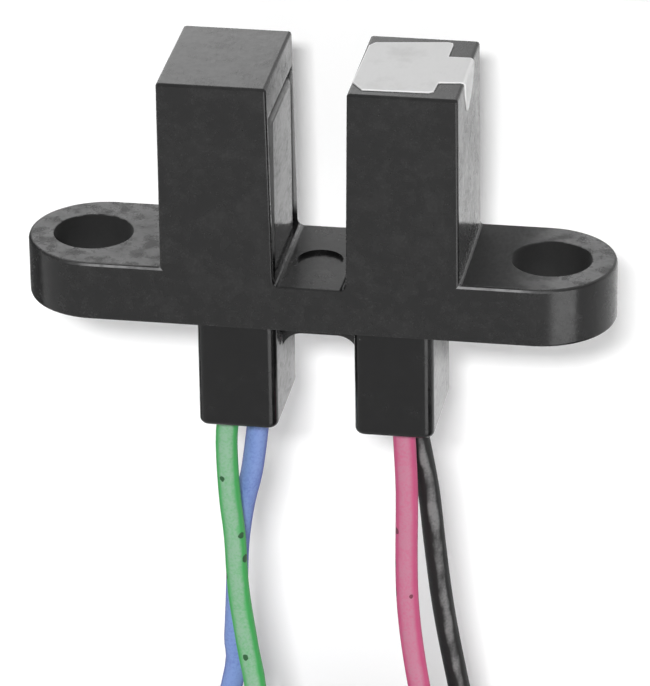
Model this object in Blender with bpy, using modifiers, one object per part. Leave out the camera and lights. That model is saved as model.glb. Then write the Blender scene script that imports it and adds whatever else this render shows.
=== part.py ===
"""Slotted photo interrupter: a moulded fork with a mounting flange, two optical cups and four flying leads.

Metres, +Z up. The origin is the middle of the flange's underside, where the flange bolts to a
bracket: X runs along the flange, -Y is the front, and both arms of the fork point up. The cups
reach down through the flange, and the leads hang from them to a tied hank.
"""

import math

import bmesh
import bpy
import numpy as np
from mathutils import Matrix, Vector

MM = 0.001

# Clearances between pieces
FIT = 0.05 * MM
LABEL_LIFT = 0.04 * MM
CORD_GAP = 0.3 * MM

# Flange, with the middle of a screw hole HOLE_TO_END from each end
FLANGE_LENGTH = 24.4 * MM
HOLE_TO_END = 2.675 * MM
HOLE_DIAMETER = 3.3 * MM
BODY_DEPTH = 6.15 * MM
FLANGE_HEIGHT = 2.55 * MM
MOULDED_EDGE = 0.13 * MM

# Fork
FORK_RISE = 8.15 * MM
SPAN_AT_TIP = 12.26 * MM
SPAN_AT_FLANGE = 12.3 * MM
GAP_AT_TIP = 3.27 * MM
GAP_AT_FLOOR = 3.0 * MM
GAP_FLOOR = 2.0 * MM
GAP_CORNER = 0.3 * MM

# Ejector mark in the floor of the gap
MARK_DIAMETER = 1.9 * MM
MARK_DEPTH = 0.15 * MM
MARK_PLACE = (0.0 * MM, -0.25 * MM)

# Rib under the bridge, flat below and filleted to both cups
RIB_THICKNESS = 1.4 * MM
RIB_DEPTH = 1.2 * MM
RIB_FLAT = 1.44 * MM
RIB_FILLET = 0.88 * MM
RIB_BITE = 0.6 * MM

# Optical cups, set back from the middle of the body
CUP_SPACING = 3.22 * MM
CUP_WIDTH = 3.3 * MM
CUP_DEPTH = 4.9 * MM
CUP_SET_BACK = 0.35 * MM
CUP_TOP = 8.85 * MM
CUP_REACH = 5.05 * MM
CUP_CORNER = 0.45 * MM
CUP_EDGE = 0.25 * MM
CUP_WALL = 0.4 * MM

# Window in each gap wall, through which a cup shows, with a groove above the cup and in front of it
WINDOW_SILL = 2.12 * MM
WINDOW_LINTEL = 0.42 * MM
WINDOW_FRONT = 2.75 * MM

# Emitter and detector packages
PACKAGE_WIDTH = 1.45 * MM
PACKAGE_DEPTH = 2.6 * MM
PACKAGE_HEIGHT = 3.7 * MM
PACKAGE_EDGE = 0.12 * MM
PACKAGE_HEADROOM = 0.15 * MM
LENS_RADIUS = 0.8 * MM
LENS_PROUD = 0.4 * MM
LENS_DROP = 1.6 * MM
LEAD_PITCH = 1.27 * MM
LEAD_WIDTH = 0.4 * MM
LEAD_THICKNESS = 0.28 * MM
LEAD_LENGTH = 5.0 * MM

# Solder beads and potting
BEAD_RADIUS = 0.42 * MM
BEAD_NECK = 0.36 * MM
BEAD_OVERLAP = 1.3 * MM
BEAD_SHARES = (0.0, 0.25, 0.75, 1.0)
POTTING_RECESS = 0.3 * MM
POTTING_COVER = 1.0 * MM
WIRE_BELOW_TERMINAL = 1.6 * MM

# Leads
WIRE_DIAMETER = 0.94 * MM
WIRE_STEP = 1.5 * MM
TIP_DIAMETER = 0.5 * MM
TIP_LENGTH = 4.0 * MM

# Hank of the spare length: a flat double spiral for each lead, one behind the other
HANK_TOP = -22.5 * MM
HANK_RUN = 15.1 * MM
HANK_INNER_RADIUS = 2.8 * MM
HANK_TURNS = 4.5
HANK_PITCH = 0.97 * MM
HANK_LAYERS = 8
TAIL_REACH = 9.5 * MM

# Tie round the hank
TIE_HEIGHT = 2.4 * MM
TIE_THICKNESS = 0.8 * MM
TIE_HEAD = (4.0 * MM, 2.4 * MM, 3.6 * MM)

# Marker label on the emitter's arm
LABEL_THICKNESS = 0.08 * MM
LABEL_HALF_DEPTH = 2.5 * MM
LABEL_INSET = 0.06 * MM
LABEL_WIDTH = 3.4 * MM
LABEL_CHAMFER = 0.45 * MM
TAB_BACK = 1.1 * MM
TAB_FRONT = -1.45 * MM
FLAP_DROP = 1.5 * MM
FLAP_TIP = -0.75 * MM
FLAP_SHOULDER = 0.4 * MM

# Facets
ARC_STEPS = 6
END_STEPS = 28
HOLE_STEPS = 40
BORE_STEPS = 16
FOLD_STEPS = 16
LENS_STEPS = 20
LENS_RINGS = 12
ROUTE_STEPS = 24

HOLE_SPACING = FLANGE_LENGTH - 2 * HOLE_TO_END
FORK_TIP = FLANGE_HEIGHT + FORK_RISE
HANK_OUTER_RADIUS = HANK_INNER_RADIUS + HANK_TURNS * HANK_PITCH
HANK_OUTLINE_RADIUS = HANK_OUTER_RADIUS + WIRE_DIAMETER / 2
HANK_THICKNESS = (HANK_LAYERS - 1) * HANK_PITCH + WIRE_DIAMETER
HANK_UPPER_FOLD = HANK_TOP - HANK_OUTLINE_RADIUS
HANK_LOWER_FOLD = HANK_UPPER_FOLD - HANK_RUN
CUP_CENTRE = (CUP_SPACING + CUP_WIDTH) / 2

# One lead each: name, colour, the sign of its cup's side, its terminal's sign in depth, the layer
# it enters the hank by, and its route in millimetres from the cup to the hank's shoulder.
LEADS = {
    "sensor_emitter": {
        "colour": (0.12, 0.50, 0.17),
        "side": -1,
        "terminal": -1,
        "layer": 0,
        "route": ((-3.95, -0.5, -5.05), (-4.05, -0.52, -6.6), (-3.96, -0.58, -8.95), (-3.76, -0.68, -10.9),
                  (-3.62, -0.82, -13.4), (-3.26, -1.0, -15.9), (-2.9, -1.25, -18.4), (-3.35, -1.9, -21.3)),
    },
    "sensor_collector": {
        "colour": (0.20, 0.28, 0.66),
        "side": -1,
        "terminal": 1,
        "layer": 4,
        "route": ((-2.8, 0.5, -5.05), (-2.92, 0.5, -6.4), (-3.2, 0.52, -8.4), (-3.56, 0.55, -9.9),
                  (-3.86, 0.6, -11.9), (-3.97, 0.62, -14.1), (-4.1, 0.62, -16.4), (-4.3, 0.6, -18.9)),
    },
    "led_anode": {
        "colour": (0.66, 0.12, 0.28),
        "side": 1,
        "terminal": -1,
        "layer": 2,
        "route": ((3.45, -0.55, -5.05), (3.5, -0.58, -6.4), (3.57, -0.62, -8.4), (3.55, -0.72, -11.3),
                  (3.6, -0.82, -13.3), (3.8, -0.95, -15.3), (4.2, -1.1, -17.8), (4.75, -1.25, -20.3)),
    },
    "led_cathode": {
        "colour": (0.02, 0.02, 0.02),
        "side": 1,
        "terminal": 1,
        "layer": 6,
        "route": ((3.72, 0.5, -5.05), (3.92, 0.52, -6.4), (4.3, 0.6, -8.8), (4.5, 0.75, -11.1),
                  (4.72, 1.0, -13.6), (4.95, 1.3, -15.7), (5.32, 1.6, -18.2), (5.75, 1.95, -21.0)),
    },
}


def clear_scene():
    for old in list(bpy.data.objects):
        bpy.data.objects.remove(old, do_unlink=True)


def new_collection(name):
    collection = bpy.data.collections.new(name)
    bpy.context.scene.collection.children.link(collection)
    return collection


clear_scene()
PARTS = new_collection("photo_interrupter")
CUTTERS = new_collection("cutters")


def material(name, colour, roughness, metallic=0.0):
    made = bpy.data.materials.new(name)
    made.use_nodes = True
    shader = made.node_tree.nodes["Principled BSDF"]
    shader.inputs["Base Color"].default_value = (*colour, 1.0)
    shader.inputs["Roughness"].default_value = roughness
    shader.inputs["Metallic"].default_value = metallic
    return made


def add_part(obj, name, finish):
    """Puts the object in the parts' collection under its node's name, with its material."""
    for owner in list(obj.users_collection):
        owner.objects.unlink(obj)
    PARTS.objects.link(obj)
    obj.name = name
    obj.data.name = name
    obj.data.materials.clear()
    obj.data.materials.append(finish)
    obj.data.shade_smooth()
    obj.data.set_sharp_from_angle(angle=math.radians(35))
    return obj


def add_cutter(obj):
    """Keeps a helper out of the model."""
    for owner in list(obj.users_collection):
        owner.objects.unlink(obj)
    CUTTERS.objects.link(obj)
    obj.hide_render = True
    obj.display_type = "WIRE"
    return obj


def boolean(obj, operation, *others):
    for other in others:
        step = obj.modifiers.new(f"{operation.lower()} {other.name}", "BOOLEAN")
        step.operation = operation
        step.solver = "EXACT"
        step.object = add_cutter(other)


def bevel(obj, width, segments=2):
    step = obj.modifiers.new("edges", "BEVEL")
    step.width = width
    step.segments = segments
    step.limit_method = "ANGLE"
    step.angle_limit = math.radians(40)


def mesh_of_curve(curve, name):
    """A closed mesh object in the curve's place, its caps welded to its sides."""
    bpy.context.view_layer.update()
    graph = bpy.context.evaluated_depsgraph_get()
    mesh = bpy.data.meshes.new_from_object(curve.evaluated_get(graph))
    work = bmesh.new()
    work.from_mesh(mesh)
    bmesh.ops.remove_doubles(work, verts=work.verts, dist=1e-7)
    bmesh.ops.recalc_face_normals(work, faces=work.faces)
    work.to_mesh(mesh)
    work.free()
    made = bpy.data.objects.new(name, mesh)
    made.matrix_world = curve.matrix_world
    bpy.context.scene.collection.objects.link(made)
    bpy.data.objects.remove(curve, do_unlink=True)
    return made


def plate(name, outlines, thickness, place=(0, 0, 0), upright=False):
    """A flat outline given thickness, about its own middle plane. Upright outlines are in X and Z."""
    data = bpy.data.curves.new(name, "CURVE")
    data.dimensions = "2D"
    data.fill_mode = "BOTH"
    data.extrude = thickness / 2
    for outline in outlines:
        spline = data.splines.new("POLY")
        spline.points.add(len(outline) - 1)
        for point, (x, y) in zip(spline.points, outline):
            point.co = (x, y, 0, 1)
        spline.use_cyclic_u = True
    curve = bpy.data.objects.new(name, data)
    bpy.context.scene.collection.objects.link(curve)
    curve.location = place
    if upright:
        curve.rotation_euler = (math.pi / 2, 0, 0)
    return mesh_of_curve(curve, name)


def block(name, low, high):
    """A box between two corners."""
    size = Vector(high) - Vector(low)
    middle = (Vector(high) + Vector(low)) / 2
    bpy.ops.mesh.primitive_cube_add(size=1, location=middle)
    made = bpy.context.object
    made.name = name
    made.data.transform(Matrix.Diagonal((*size, 1)))
    return made


def rod(name, radius, low, high, place, steps=HOLE_STEPS):
    """A vertical cylinder."""
    bpy.ops.mesh.primitive_cylinder_add(
        vertices=steps, radius=radius, depth=high - low, location=(*place, (low + high) / 2)
    )
    made = bpy.context.object
    made.name = name
    return made


def tube(name, points, radius, radii=None):
    """A round tube along the points, with filled ends."""
    data = bpy.data.curves.new(name, "CURVE")
    data.dimensions = "3D"
    data.bevel_depth = radius
    data.bevel_resolution = 2
    data.use_fill_caps = True
    spline = data.splines.new("POLY")
    spline.points.add(len(points) - 1)
    for index, place in enumerate(points):
        spline.points[index].co = (*place, 1)
        spline.points[index].radius = radii[index] if radii else 1.0
    curve = bpy.data.objects.new(name, data)
    bpy.context.scene.collection.objects.link(curve)
    return curve


def arc(centre, radius, start, end, steps=ARC_STEPS):
    """Points on an arc, angles in degrees."""
    angles = np.radians(np.linspace(start, end, steps + 1))
    return [(centre[0] + radius * math.cos(a), centre[1] + radius * math.sin(a)) for a in angles]


def stadium(half_length, radius, steps=END_STEPS):
    """An outline with round ends at plus and minus X."""
    middle = half_length - radius
    return arc((middle, 0), radius, -90, 90, steps) + arc((-middle, 0), radius, 90, 270, steps)


def rounded_rectangle(half_x, half_y, radius, centre=(0, 0)):
    x, y = centre
    across, along = half_x - radius, half_y - radius
    return (
        arc((x + across, y + along), radius, 0, 90)
        + arc((x - across, y + along), radius, 90, 180)
        + arc((x - across, y - along), radius, 180, 270)
        + arc((x + across, y - along), radius, 270, 360)
    )


def arm_side(height):
    """X of the fork's outer side, which is drafted, at a height above the underside."""
    return np.interp(height, (FLANGE_HEIGHT, FORK_TIP), (SPAN_AT_FLANGE / 2, SPAN_AT_TIP / 2))


def fork_profile():
    """The front view of flange and fork, with its drafted arms and the gap between them."""
    end = FLANGE_LENGTH / 2 + BODY_DEPTH
    right = [
        (end, 0),
        (end, FLANGE_HEIGHT),
        (SPAN_AT_FLANGE / 2, FLANGE_HEIGHT),
        (SPAN_AT_TIP / 2, FORK_TIP),
        (GAP_AT_TIP / 2, FORK_TIP),
    ]
    corner = arc((GAP_AT_FLOOR / 2 - GAP_CORNER, GAP_FLOOR + GAP_CORNER), GAP_CORNER, 0, -90)
    right += corner
    left = [(-x, z) for x, z in reversed(right)]
    return right + left


def rib_profile():
    """The rib's front view: a flat underside that curves down to the cup at each end."""
    half = CUP_SPACING / 2 - FIT
    start = math.degrees(math.acos((half - RIB_FLAT / 2) / RIB_FILLET))
    fillet = arc((RIB_FLAT / 2, -RIB_DEPTH - RIB_FILLET), RIB_FILLET, start, 90, 2 * ARC_STEPS)
    return [(-half, RIB_BITE), (half, RIB_BITE)] + fillet + [(-x, z) for x, z in reversed(fillet)]


def cup_middle(side, height):
    """The middle of a cup at a height."""
    return side * CUP_CENTRE, CUP_SET_BACK, height


def make_pocket(side):
    """The space that a cup is pushed up into, open below."""
    half_x, half_y = CUP_WIDTH / 2 + FIT, CUP_DEPTH / 2 + FIT
    low, high = -CUP_REACH, CUP_TOP + FIT
    outline = rounded_rectangle(half_x, half_y, CUP_CORNER + FIT)
    return plate(f"pocket {side}", [outline], high - low, cup_middle(side, (low + high) / 2))


def make_window(side):
    """The opening in the gap wall in front of a cup."""
    inner = GAP_AT_FLOOR / 4
    outer = CUP_SPACING / 2 + CUP_CORNER + 2 * FIT
    back = CUP_SET_BACK + CUP_DEPTH / 2 + FIT
    x = sorted((side * inner, side * outer))
    return block(f"window {side}", (x[0], -WINDOW_FRONT, WINDOW_SILL), (x[1], back, CUP_TOP + WINDOW_LINTEL))


def make_housing():
    """One moulding: flange, bridge and the two arms."""
    body = plate("housing", [fork_profile()], 2 * BODY_DEPTH, upright=True)
    plan = plate("plan", [stadium(FLANGE_LENGTH / 2, BODY_DEPTH / 2)], 4 * FORK_TIP)
    boolean(body, "INTERSECT", plan)
    bevel(body, MOULDED_EDGE)
    boolean(body, "UNION", plate("rib", [rib_profile()], RIB_THICKNESS, upright=True))
    holes = [
        rod(f"hole {side}", HOLE_DIAMETER / 2, -FLANGE_HEIGHT, 2 * FLANGE_HEIGHT, (side * HOLE_SPACING / 2, 0))
        for side in (-1, 1)
    ]
    mark = rod("mark", MARK_DIAMETER / 2, GAP_FLOOR - MARK_DEPTH, FORK_TIP, MARK_PLACE)
    pockets = [make_pocket(side) for side in (-1, 1)]
    windows = [make_window(side) for side in (-1, 1)]
    boolean(body, "DIFFERENCE", *holes, mark, *pockets, *windows)
    add_part(body, "housing", material("housing_plastic", (0.028, 0.028, 0.029), 0.38))


def make_cup(side, name):
    """A thin moulded cup, closed at the top and open at the bottom, rounded on all its outer edges."""
    height = CUP_TOP + CUP_REACH
    outline = rounded_rectangle(CUP_WIDTH / 2, CUP_DEPTH / 2, CUP_CORNER)
    cup = plate(name, [outline], height, cup_middle(side, CUP_TOP - height / 2))
    bevel(cup, CUP_EDGE)
    inner = rounded_rectangle(CUP_WIDTH / 2 - CUP_WALL, CUP_DEPTH / 2 - CUP_WALL, CUP_CORNER - CUP_WALL / 2)
    low, high = -CUP_REACH - CUP_WALL, CUP_TOP - CUP_WALL
    boolean(cup, "DIFFERENCE", plate("hollow", [inner], high - low, cup_middle(side, (low + high) / 2)))
    add_part(cup, name, material(f"{name}_plastic", (0.016, 0.016, 0.017), 0.22))


def package_middle(side):
    """X of the package, its lens just clear of the cup's front wall."""
    face = CUP_SPACING / 2 + CUP_WALL + 2 * FIT + LENS_PROUD
    return side * (face + PACKAGE_WIDTH / 2)


def package_top():
    return CUP_TOP - CUP_WALL - PACKAGE_HEADROOM


def make_package(side, name, colour):
    """A side-looking package: a flat moulded body with a domed lens towards the gap."""
    x, top = package_middle(side), package_top()
    half = Vector((PACKAGE_WIDTH / 2, PACKAGE_DEPTH / 2, 0))
    body = block(name, Vector((x, 0, top - PACKAGE_HEIGHT)) - half, Vector((x, 0, top)) + half)
    bevel(body, PACKAGE_EDGE)
    centre = x - side * (PACKAGE_WIDTH / 2 + LENS_PROUD - LENS_RADIUS)
    bpy.ops.mesh.primitive_uv_sphere_add(
        segments=LENS_STEPS, ring_count=LENS_RINGS, radius=LENS_RADIUS, location=(centre, 0, top - LENS_DROP)
    )
    boolean(body, "UNION", bpy.context.object)
    add_part(body, name, material(f"{name}_resin", colour, 0.15))


def lead_box(side, terminal, name, grow=0.0):
    """A flat tinned terminal below its package; grow widens it for a cutter."""
    x, y = package_middle(side), terminal * LEAD_PITCH / 2
    top = package_top() - PACKAGE_HEIGHT - FIT
    half = Vector((LEAD_THICKNESS / 2 + grow, LEAD_WIDTH / 2 + grow, 0))
    return block(
        name,
        Vector((x, y, top - LEAD_LENGTH - grow)) - half,
        Vector((x, y, top + grow)) + half,
    )


def lead_foot():
    """Height of a terminal's lower end."""
    return package_top() - PACKAGE_HEIGHT - FIT - LEAD_LENGTH


def wire_top():
    """Height at which the insulation ends inside a cup."""
    return lead_foot() - WIRE_BELOW_TERMINAL


def bead_tube(lead, name, grow=0.0):
    """Solder from the end of the wire to the foot of its terminal."""
    x, y, _ = lead["route"][0]
    start = Vector((x * MM, y * MM, wire_top() + FIT - grow))
    end = Vector((package_middle(lead["side"]), lead["terminal"] * LEAD_PITCH / 2, lead_foot() + BEAD_OVERLAP + grow))
    points = [start.lerp(end, share) for share in BEAD_SHARES]
    neck = (BEAD_NECK + grow) / (BEAD_RADIUS + grow)
    bead = tube(name, points, BEAD_RADIUS + grow, (neck, 1, 1, neck))
    return mesh_of_curve(bead, name)


def make_terminal(key, lead):
    side, terminal = lead["side"], lead["terminal"]
    tin = material(f"{key}_terminal_tin", (0.62, 0.61, 0.58), 0.35, 1.0)
    add_part(lead_box(side, terminal, key), f"{key}_terminal", tin)
    bead = bead_tube(lead, f"{key} bead")
    boolean(bead, "DIFFERENCE", lead_box(side, terminal, f"{key} socket", FIT))
    solder = material(f"{key}_solder", (0.55, 0.55, 0.54), 0.3, 1.0)
    add_part(bead, f"{key}_solder_joint", solder)


def make_potting(side, name):
    """Resin that fills the lower half of a cup round the joints and the leads."""
    half_x, half_y = CUP_WIDTH / 2 - CUP_WALL - FIT, CUP_DEPTH / 2 - CUP_WALL - FIT
    low, high = -CUP_REACH + POTTING_RECESS, lead_foot() + BEAD_OVERLAP + POTTING_COVER
    outline = rounded_rectangle(half_x, half_y, CUP_CORNER - CUP_WALL / 2 - FIT)
    fill = plate(name, [outline], high - low, cup_middle(side, (low + high) / 2))
    for key, lead in LEADS.items():
        if lead["side"] != side:
            continue
        x, y, _ = lead["route"][0]
        radius = WIRE_DIAMETER / 2 + FIT
        bore = rod(f"{key} bore", radius, -CUP_REACH - CUP_WALL, wire_top() + FIT, (x * MM, y * MM), BORE_STEPS)
        void = bead_tube(lead, f"{key} void", FIT)
        slot = lead_box(side, lead["terminal"], f"{key} slot", FIT)
        boolean(fill, "DIFFERENCE", bore, void, slot)
    add_part(fill, name, material(f"{name}_resin", (0.02, 0.02, 0.022), 0.25))


def smooth_route(points, step=WIRE_STEP):
    """Points a step apart on a smooth curve through the given ones."""
    knots = [np.array(p, float) for p in points]
    knots = [2 * knots[0] - knots[1], *knots, 2 * knots[-1] - knots[-2]]
    dense = []
    for before, start, end, after in zip(knots, knots[1:], knots[2:], knots[3:]):
        for t in np.linspace(0, 1, ROUTE_STEPS, endpoint=False):
            dense.append(
                0.5
                * (
                    2 * start
                    + (end - before) * t
                    + (2 * before - 5 * start + 4 * end - after) * t**2
                    + (3 * start - before - 3 * end + after) * t**3
                )
            )
    dense.append(knots[-2])
    dense = np.array(dense)
    travel = np.concatenate([[0], np.cumsum(np.linalg.norm(np.diff(dense, axis=0), axis=1))])
    marks = np.linspace(0, travel[-1], max(3, round(travel[-1] / step) + 1))
    return [Vector([np.interp(mark, travel, dense[:, axis]) for axis in range(3)]) for mark in marks]


def layer_place(layer):
    """Y of one layer of the hank."""
    return (layer - (HANK_LAYERS - 1) / 2) * HANK_PITCH


def shoulder(start, side):
    """Where a lead that comes straight from start touches the hank's outermost fold, in X and Z."""
    across, above = start.x, start.z - HANK_UPPER_FOLD
    distance = math.hypot(across, above)
    turn = math.atan2(above, across) - side * math.acos(HANK_OUTER_RADIUS / distance)
    return HANK_OUTER_RADIUS * math.cos(turn), HANK_UPPER_FOLD + HANK_OUTER_RADIUS * math.sin(turn)


def make_wire(key, lead, finish):
    """A lead from inside its cup to the shoulder of the hank."""
    side = lead["side"]
    route = [Vector(point) * MM for point in lead["route"]]
    x, z = shoulder(route[-1], side)
    touch = Vector((x, layer_place(lead["layer"]), z))
    clear_radius = HANK_OUTLINE_RADIUS + CORD_GAP + WIRE_DIAMETER / 2
    short = math.sqrt(clear_radius**2 - HANK_OUTER_RADIUS**2)
    end = touch + (route[-1] - touch).normalized() * short
    start = Vector((route[0].x, route[0].y, wire_top()))
    wire = tube(f"{key}_wire", smooth_route([start, *route, end]), WIRE_DIAMETER / 2)
    add_cord(wire, f"{key}_wire", finish)


def add_cord(curve, name, finish):
    PARTS.objects.link(curve)
    bpy.context.scene.collection.objects.unlink(curve)
    curve.name = name
    curve.data.name = name
    curve.data.materials.append(finish)


def make_tail(key, lead, finish):
    """The far end of a lead, hanging from the hank's lower fold, and its tinned tip."""
    side = lead["side"]
    x, y = side * HANK_OUTER_RADIUS, layer_place(lead["layer"] + 1)
    inner = HANK_OUTER_RADIUS - WIRE_DIAMETER / 2 - CORD_GAP
    top = HANK_LOWER_FOLD - math.sqrt(HANK_OUTLINE_RADIUS**2 - inner**2)
    low = top - TAIL_REACH
    points = [(x, y, z) for z in np.linspace(top, low, round(TAIL_REACH / WIRE_STEP) + 1)]
    add_cord(tube(f"{key}_tail", points, WIRE_DIAMETER / 2), f"{key}_tail", finish)
    tip = rod(f"{key}_tip", TIP_DIAMETER / 2, low - FIT - TIP_LENGTH, low - FIT, (x, y), BORE_STEPS)
    add_part(tip, f"{key}_tip", material(f"{key}_tip_tin", (0.66, 0.65, 0.62), 0.3, 1.0))


def make_hank():
    """The outer form of the wound leads: straight runs between round folds, open in the middle."""
    half = HANK_RUN / 2 + HANK_OUTLINE_RADIUS
    inner_radius = HANK_INNER_RADIUS - WIRE_DIAMETER / 2
    outlines = [
        [(z, x) for x, z in stadium(half, HANK_OUTLINE_RADIUS, FOLD_STEPS)],
        [(z, x) for x, z in stadium(HANK_RUN / 2 + inner_radius, inner_radius, FOLD_STEPS)],
    ]
    middle = (HANK_UPPER_FOLD + HANK_LOWER_FOLD) / 2
    hank = plate("wire_hank", outlines, HANK_THICKNESS, (0, 0, middle), upright=True)
    bevel(hank, WIRE_DIAMETER / 2)
    add_part(hank, "wire_hank", material("hank_insulation", (0.25, 0.22, 0.34), 0.45))


def make_tie():
    """A strap drawn round the waist of the hank, with a square head in front."""
    half_x = HANK_OUTLINE_RADIUS + CORD_GAP
    half_y = HANK_THICKNESS / 2 + CORD_GAP
    corner = WIRE_DIAMETER / 2 + CORD_GAP
    middle = (HANK_UPPER_FOLD + HANK_LOWER_FOLD) / 2
    outlines = [
        rounded_rectangle(half_x + TIE_THICKNESS, half_y + TIE_THICKNESS, corner + TIE_THICKNESS),
        rounded_rectangle(half_x, half_y, corner),
    ]
    strap = plate("hank_tie", outlines, TIE_HEIGHT, (0, 0, middle))
    width, depth, height = TIE_HEAD
    back = -half_y - TIE_THICKNESS / 2
    head = block("tie head", (-width / 2, back - depth, middle - height / 2), (width / 2, back, middle + height / 2))
    boolean(strap, "UNION", head)
    add_part(strap, "hank_tie", material("tie_nylon", (0.02, 0.02, 0.02), 0.4))


def label_outline(tab_end):
    """The label's plan: a sheet with cut corners and a tab towards the arm's outer edge."""
    left = GAP_AT_TIP / 2 + LABEL_INSET
    right = left + LABEL_WIDTH
    back, cut = LABEL_HALF_DEPTH, LABEL_CHAMFER
    return [
        (left, -back + cut),
        (left + cut, -back),
        (right - cut, -back),
        (right, -back + cut),
        (right, TAB_FRONT),
        (tab_end, TAB_FRONT),
        (tab_end, TAB_BACK),
        (right, TAB_BACK),
        (right, back - cut),
        (right - cut, back),
        (left + cut, back),
        (left, back - cut),
    ]


def make_label():
    """A thin marker label on the right arm, its tab folded down over the outer edge to a point."""
    bottom = FORK_TIP + LABEL_LIFT
    top = bottom + LABEL_THICKNESS
    wall = max(arm_side(FORK_TIP), arm_side(top - FLAP_DROP)) + LABEL_LIFT
    sheet = plate(
        "marker_label", [label_outline(wall + LABEL_THICKNESS)], LABEL_THICKNESS, (0, 0, (bottom + top) / 2)
    )
    flap_outline = [(TAB_FRONT, top), (FLAP_TIP, top - FLAP_DROP), (TAB_BACK, top - FLAP_SHOULDER), (TAB_BACK, top)]
    flap = plate("flap", [flap_outline], LABEL_THICKNESS)
    flap.matrix_world = Matrix.Translation((wall + LABEL_THICKNESS / 2, 0, 0)) @ Matrix(
        ((0, 0, 1, 0), (1, 0, 0, 0), (0, 1, 0, 0), (0, 0, 0, 1))
    )
    boolean(sheet, "UNION", flap)
    add_part(sheet, "marker_label", material("label_film", (0.62, 0.62, 0.62), 0.55))


def main():
    make_housing()
    make_cup(-1, "detector_cup")
    make_cup(1, "emitter_cup")
    make_package(-1, "phototransistor", (0.03, 0.03, 0.035))
    make_package(1, "infrared_led", (0.35, 0.42, 0.55))
    make_potting(-1, "detector_potting")
    make_potting(1, "emitter_potting")
    for key, lead in LEADS.items():
        make_terminal(key, lead)
        insulation = material(f"{key}_insulation", lead["colour"], 0.42)
        make_wire(key, lead, insulation)
        make_tail(key, lead, insulation)
    make_hank()
    make_tie()
    make_label()


main()
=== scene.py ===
"""Dresses the slotted photo interrupter on its CAD frame.

A satin black fork with two glossy optical cups, a pale marker label folded over one arm, and four
vinyl leads that hang from the cups and are wound into a tied hank below the view. A pale wall
stands close behind it on a pale floor. Everything is in metres, in the frame of the CAD model.
"""

import logging
import math
from collections.abc import Iterable, Mapping, Sequence
from dataclasses import dataclass
from enum import Enum

import bmesh
import bpy
from mathutils import Matrix, Vector


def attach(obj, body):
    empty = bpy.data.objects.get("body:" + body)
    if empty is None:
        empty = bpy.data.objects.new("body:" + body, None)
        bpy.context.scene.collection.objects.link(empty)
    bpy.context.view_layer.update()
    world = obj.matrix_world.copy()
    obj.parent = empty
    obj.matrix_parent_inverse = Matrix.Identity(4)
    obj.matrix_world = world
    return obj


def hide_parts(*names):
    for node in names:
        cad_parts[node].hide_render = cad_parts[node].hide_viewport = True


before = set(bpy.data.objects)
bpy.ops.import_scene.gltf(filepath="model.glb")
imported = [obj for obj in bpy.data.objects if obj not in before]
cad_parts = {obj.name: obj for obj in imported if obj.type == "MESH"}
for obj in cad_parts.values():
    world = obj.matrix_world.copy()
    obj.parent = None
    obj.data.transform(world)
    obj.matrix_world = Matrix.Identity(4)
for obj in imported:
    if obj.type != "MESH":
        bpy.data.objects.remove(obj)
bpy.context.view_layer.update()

LOG = logging.getLogger("photo_interrupter")
MM = 0.001
WHITE = EVEN = (1.0, 1.0, 1.0)
PROUD = math.radians(60)

Colour = tuple[float, float, float]
Point = tuple[float, float, float]
Span = tuple[float, float]
Name = str | int
Slots = Mapping[Name, object] | None
Socket = bpy.types.NodeSocket
Material = bpy.types.Material
Piece = bpy.types.Object
Mesh = bmesh.types.BMesh
Face = bmesh.types.BMFace
Edge = bmesh.types.BMEdge


def mm(x: float, y: float, z: float) -> Vector:
    """A point given in millimetres."""
    return Vector((x, y, z)) * MM


def within(amount: float, span: Span) -> bool:
    """Whether an amount is inside a span."""
    return span[0] < amount < span[1]


def shares(count: int) -> list[float]:
    """Even shares of a whole, from 0 to 1."""
    return [step / count for step in range(count + 1)]


class Side(Enum):
    """An arm of the fork, by the sign of its X."""

    DETECTOR = -1
    EMITTER = 1


class Layer(Enum):
    """The layer of the hank by which a lead enters; it leaves by the one behind."""

    FRONT = 0
    SECOND = 2
    THIRD = 4
    BACK = 6


class Value:
    """A shader value that works in Python arithmetic: each operator adds one Math node."""

    def __init__(self, book: "NodeBook", socket: Socket) -> None:
        """Keeps a socket and the book that owns its node."""
        self.book = book
        self.socket = socket

    def _join(self, operation: str, first: "Value | float", second: "Value | float") -> "Value":
        """The result of one Math node."""
        return self.book.value(0, "ShaderNodeMath", {"operation": operation}, {0: first, 1: second})

    def __add__(self, other: "Value | float") -> "Value":
        """The sum."""
        return self._join("ADD", self, other)

    def __radd__(self, other: float) -> "Value":
        """The sum, with the number first."""
        return self._join("ADD", other, self)

    def __sub__(self, other: "Value | float") -> "Value":
        """The difference."""
        return self._join("SUBTRACT", self, other)

    def __mul__(self, other: "Value | float") -> "Value":
        """The product."""
        return self._join("MULTIPLY", self, other)

    def __abs__(self) -> "Value":
        """The size, without the sign."""
        return self._join("ABSOLUTE", self, 0.0)

    def __or__(self, other: "Value | float") -> "Value":
        """The larger of two masks."""
        return self._join("MAXIMUM", self, other)

    def about(self, amount: float) -> "Value":
        """A noise swung about 0 by an amount."""
        return (self - 0.5) * amount

    def step(self, low: float, high: float) -> "Value":
        """A smooth step from 0 at low to 1 at high, which may be the lower number."""
        ends = {"Value": self, "From Min": low, "From Max": high}
        smooth = {"interpolation_type": "SMOOTHSTEP"}
        return self.book.value("Result", "ShaderNodeMapRange", smooth, ends)


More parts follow.
